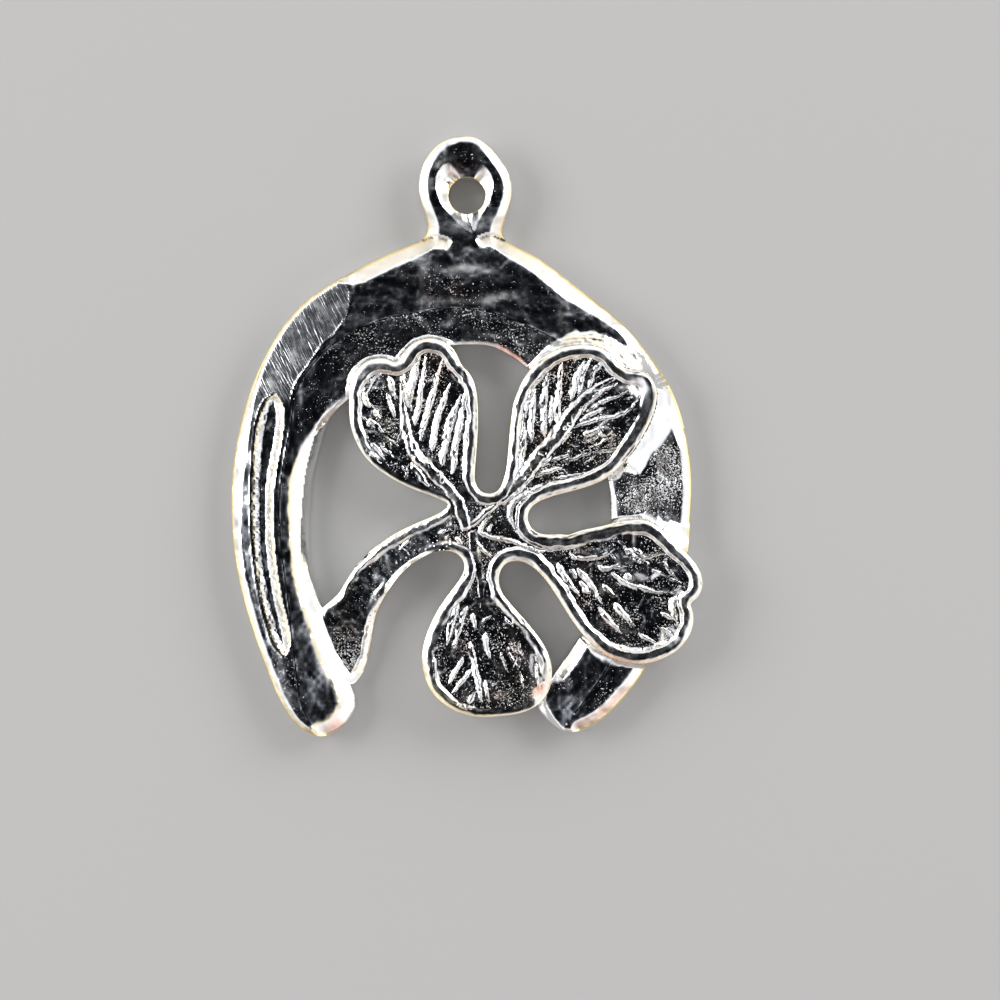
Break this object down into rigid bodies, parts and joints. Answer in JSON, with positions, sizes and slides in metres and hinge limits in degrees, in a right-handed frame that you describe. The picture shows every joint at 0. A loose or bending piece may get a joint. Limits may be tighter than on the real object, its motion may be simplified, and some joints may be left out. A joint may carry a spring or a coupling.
{
  "type": "four leaf clover charm",
  "caption": "Polished metal charm: a horseshoe band with a four-leaf clover laid over it, gaps cut through, and a round eye on top for a jump ring.",
  "frame": {"origin": "under the middle of the outline, on the flat back", "axes": "+Z out of the relief face, +Y towards the eye, +X to the right as the face is seen"},
  "size_m": [0.022, 0.0279, 0.0023],
  "materials": {
    "charm": "polished casting, silver tone"
  },
  "bodies": {
    "root": {"charm": "charm"}
  },
  "joints": []
}
